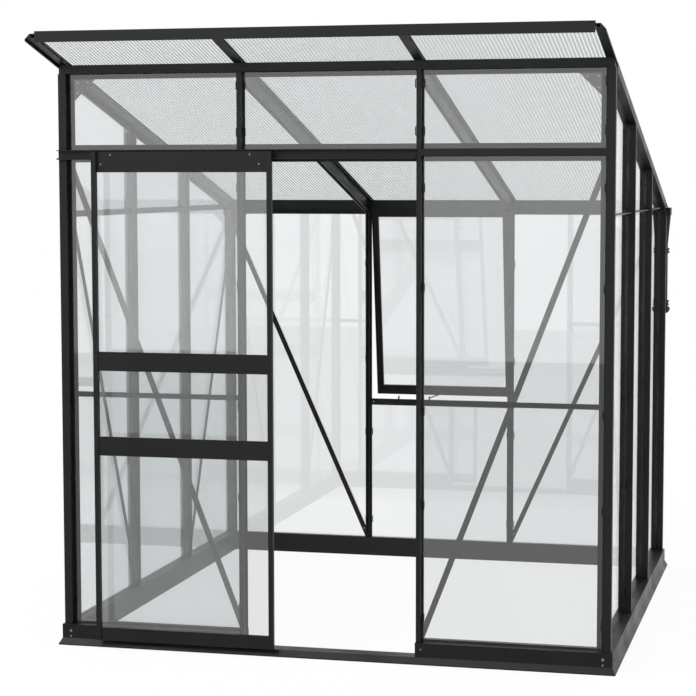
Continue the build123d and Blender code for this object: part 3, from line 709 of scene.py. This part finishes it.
PIPE_SIDES = 40
PIPE_X = sum(corner.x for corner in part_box("downpipe")) / 2
PIPE_Y = sum(corner.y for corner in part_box("downpipe")) / 2
PIPE_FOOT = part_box("downpipe")[0].z
PIPE_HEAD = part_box("downpipe")[1].z
PIPE = 25 * MM
BORE = 23 * MM
BORE_DEEP = 65 * MM
BELL = ((2, 27), (8, 33), (17, 36), (22, 36), (32, 25))     # rise and radius, in mm
COLLAR = 32 * MM
GROOVE = 28.5 * MM
COLLAR_DROPS = (380 * MM, 160 * MM)     # from the pipe's head to the foot of a collar
RIB = 7 * MM
COLLAR_FORM = ((PIPE, 0), (COLLAR, 0), (COLLAR, 1), (GROOVE, 1),
               (GROOVE, 2), (COLLAR, 2), (COLLAR, 3), (PIPE, 3))    # radius, and rise in ribs
HOPPER_DROP = 122 * MM
HOPPER = Ring(28 * MM, 24 * MM, PIPE_HEAD, 8 * MM)


def round_ring(radius, height):
    return Ring(radius, radius, height, 0)


def pipe_rings():
    """Rings of the pipe from the end of its bore, round its foot and up to the gutter."""
    rings = [round_ring(BORE, PIPE_FOOT + BORE_DEEP), round_ring(BORE, PIPE_FOOT)]
    rings += [round_ring(radius * MM, PIPE_FOOT + rise * MM) for rise, radius in BELL]
    for collar_drop in COLLAR_DROPS:
        low = PIPE_HEAD - collar_drop
        rings += [round_ring(radius, low + ribs * RIB) for radius, ribs in COLLAR_FORM]
    return [*rings, round_ring(PIPE, PIPE_HEAD - HOPPER_DROP), HOPPER]


class GREENHOUSE_OT_downpipe(bpy.types.Operator):
    """Draws the downpipe up from its bell foot to the hopper under the gutter"""

    bl_idname = "greenhouse.downpipe"
    bl_label = "Downpipe"

    def execute(self, context):
        plastic = moulded_plastic("pipe_plastic", colours().plastic)
        last, *rings = pipe_rings()
        deselect()
        bpy.ops.mesh.primitive_circle_add(vertices=PIPE_SIDES, radius=last.wide,
                                          fill_type="NGON",
                                          location=(PIPE_X, PIPE_Y, last.height))
        pipe = context.object
        bpy.ops.object.mode_set(mode="EDIT")
        bpy.ops.mesh.select_all(action="SELECT")
        for ring in rings:
            move = (ring.shift - last.shift, 0, ring.height - last.height)
            bpy.ops.mesh.extrude_region_move(TRANSFORM_OT_translate={"value": move})
            bpy.ops.transform.resize(
                value=(ring.wide / last.wide, ring.deep / last.deep, 1),
                center_override=(PIPE_X + ring.shift, PIPE_Y, ring.height))
            last = ring
        bpy.ops.mesh.select_all(action="SELECT")
        bpy.ops.mesh.normals_make_consistent(inside=False)
        bpy.ops.object.mode_set(mode="OBJECT")
        bpy.ops.object.shade_smooth_by_angle(angle=0.6)
        piece = finish_piece(pipe, "downpipe_moulded", plastic, "frame")
        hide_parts("downpipe")
        return {"FINISHED"}


# Stage: the floor's edges show in the panes as a step

FLOOR_CORNERS = ((-60.0, -12.0), (12.0, -12.0), (-60.0, 60.0), (12.0, 60.0))
FLOOR_PLAIN = (0.82, 0.82, 0.82, 1)
FLOOR_GLOW = 1.06
FLOOR_GLOW_SHARE = 0.86         # the rest shows the shadow
FLOOR_MIRRORED = (0.5, 0.86)    # brightness in the panes' mirrors, in front and beside
FLOOR_MIRRORED_RISE = (FRONT, FRONT + 0.6)
ROOM_LIGHT = 0.75
ROOM_WHITE = 1.0
KEY_PLACE = (-3.5, -7.0, 5.5)
KEY_AIM = (0, 0, 1)
KEY_WIDTH = 5.0
KEY_HEIGHT = 3.0
KEY_POWER = 160.0
PANE_FACES_DEEP = 40            # faces of glass and roof sheet that a line of sight may cross

# Camera, from the perspective lines of the picture
PICTURE_SIZE = 696
SENSOR_WIDTH = 36.0
CAMERA_X = 1.7023
CAMERA_BEFORE_FRONT = 6.547
CAMERA_HEIGHT = 1.6434
CAMERA_YAW = 0.23725
CAMERA_PITCH = 0.08454
CAMERA_ROLL = -0.00095
CAMERA_FOCUS_PIXELS = 2003.94
CAMERA_CENTRE_PIXEL = 362.46


def floor_material():
    """Pale floor: white to the camera with a soft shadow, greyer where the panes mirror it."""
    material, tree, output, coords = new_material("pale_floor")
    plain = tree.nodes.new("ShaderNodeBsdfDiffuse")
    plain.inputs["Color"].default_value = FLOOR_PLAIN
    lit = tree.nodes.new("ShaderNodeEmission")
    lit.inputs["Color"].default_value = WHITE
    lit.inputs["Strength"].default_value = FLOOR_GLOW
    split = tree.nodes.new("ShaderNodeSeparateXYZ")
    tree.links.new(coords, split.inputs["Vector"])
    side = carried(tree, split.outputs["Y"], FLOOR_MIRRORED_RISE, FLOOR_MIRRORED)
    mirrored = tree.nodes.new("ShaderNodeEmission")
    tree.links.new(side, mirrored.inputs["Color"])
    path = tree.nodes.new("ShaderNodeLightPath")
    seen = mixed(tree, FLOOR_GLOW_SHARE, plain, lit)
    camera = mixed(tree, path.outputs["Is Camera Ray"], plain, seen)
    glossy = mixed(tree, path.outputs["Is Glossy Ray"], camera, mirrored)
    tree.links.new(glossy.outputs[0], output.inputs["Surface"])
    return material


def white_background(tree, strength):
    node = tree.nodes.new("ShaderNodeBackground")
    node.inputs["Color"].default_value = WHITE
    node.inputs["Strength"].default_value = strength
    return node


def studio_world():
    """White where it is looked at, softer where it lights the pieces."""
    world = bpy.data.worlds.new("studio")
    bpy.context.scene.world = world
    world.use_nodes = True
    tree = world.node_tree
    tree.nodes.clear()
    output = tree.nodes.new("ShaderNodeOutputWorld")
    path = tree.nodes.new("ShaderNodeLightPath")
    either = tree.nodes.new("ShaderNodeMath")
    either.operation = "MAXIMUM"
    tree.links.new(path.outputs["Is Camera Ray"], either.inputs[0])
    tree.links.new(path.outputs["Is Glossy Ray"], either.inputs[1])
    room = mixed(tree, either.outputs[0], white_background(tree, ROOM_LIGHT),
                 white_background(tree, ROOM_WHITE))
    tree.links.new(room.outputs[0], output.inputs["Surface"])


def add_floor():
    deselect()
    bpy.ops.mesh.primitive_plane_add(size=1)
    floor = bpy.context.object
    floor.name = "floor"
    for vertex, (x, y) in zip(floor.data.vertices, FLOOR_CORNERS):
        vertex.co = (x, y, 0)
    floor.data.materials.append(floor_material())


def add_key_light(scene):
    """One large soft light, high in front on the left."""
    light = bpy.data.lights.new("key", "AREA")
    light.shape = "RECTANGLE"
    light.size = KEY_WIDTH
    light.size_y = KEY_HEIGHT
    light.energy = KEY_POWER
    lamp = bpy.data.objects.new("key", light)
    scene.collection.objects.link(lamp)
    lamp.location = KEY_PLACE
    aim = Vector(KEY_AIM) - lamp.location
    lamp.rotation_euler = aim.to_track_quat("-Z", "Y").to_euler()


def add_camera(scene):
    data = bpy.data.cameras.new("picture_camera")
    camera = bpy.data.objects.new("picture_camera", data)
    scene.collection.objects.link(camera)
    data.sensor_width = SENSOR_WIDTH
    data.lens = CAMERA_FOCUS_PIXELS * data.sensor_width / PICTURE_SIZE
    data.shift_x = (PICTURE_SIZE / 2 - CAMERA_CENTRE_PIXEL) / PICTURE_SIZE
    data.dof.use_dof = False
    turn = (Matrix.Rotation(CAMERA_YAW, 4, "Z")
            @ Matrix.Rotation(math.pi / 2 - CAMERA_PITCH, 4, "X")
            @ Matrix.Rotation(CAMERA_ROLL, 4, "Z"))
    place = (CAMERA_X, FRONT - CAMERA_BEFORE_FRONT, CAMERA_HEIGHT)
    camera.matrix_world = Matrix.Translation(place) @ turn
    scene.camera = camera


class GREENHOUSE_OT_stage(bpy.types.Operator):
    """Sets the pale floor, the soft light and the camera"""

    bl_idname = "greenhouse.stage"
    bl_label = "Stage"

    def execute(self, context):
        scene = context.scene
        scene.view_settings.view_transform = "Standard"
        scene.cycles.transparent_max_bounces = PANE_FACES_DEEP
        studio_world()
        add_floor()
        add_key_light(scene)
        add_camera(scene)
        return {"FINISHED"}


PIECE_OPERATORS = (
    GREENHOUSE_OT_stage,
    GREENHOUSE_OT_frame_finish,
    GREENHOUSE_OT_glass_finish,
    GREENHOUSE_OT_roof_sheets,
    GREENHOUSE_OT_rafter_channels,
    GREENHOUSE_OT_glazing_clips,
    GREENHOUSE_OT_bolts,
    GREENHOUSE_OT_downpipe,
)


class GREENHOUSE_PT_panel(bpy.types.Panel):
    """Lists the sizes, the colours and the pieces"""

    bl_idname = "GREENHOUSE_PT_panel"
    bl_label = "Greenhouse"
    bl_space_type = "VIEW_3D"
    bl_region_type = "UI"
    bl_category = "Greenhouse"

    def draw(self, context):
        layout = self.layout
        for group in (sizes(), colours()):
            for name in group.__annotations__:
                layout.prop(group, name)
        for operator in PIECE_OPERATORS:
            layout.operator(operator.bl_idname)


CLASSES = (GreenhouseSizes, GreenhouseColours, *PIECE_OPERATORS, GREENHOUSE_PT_panel)


def register():
    for cls in CLASSES:
        bpy.utils.register_class(cls)
    bpy.types.Scene.greenhouse_sizes = bpy.props.PointerProperty(type=GreenhouseSizes)
    bpy.types.Scene.greenhouse_colours = bpy.props.PointerProperty(type=GreenhouseColours)


def unregister():
    del bpy.types.Scene.greenhouse_colours
    del bpy.types.Scene.greenhouse_sizes
    for cls in reversed(CLASSES):
        bpy.utils.unregister_class(cls)


def main():
    register()
    bpy.ops.greenhouse.stage()
    bpy.ops.greenhouse.frame_finish()
    bpy.ops.greenhouse.glass_finish()
    bpy.ops.greenhouse.roof_sheets()
    bpy.ops.greenhouse.rafter_channels()
    bpy.ops.greenhouse.glazing_clips()
    bpy.ops.greenhouse.bolts()
    bpy.ops.greenhouse.downpipe()


if __name__ == "__main__":
    main()
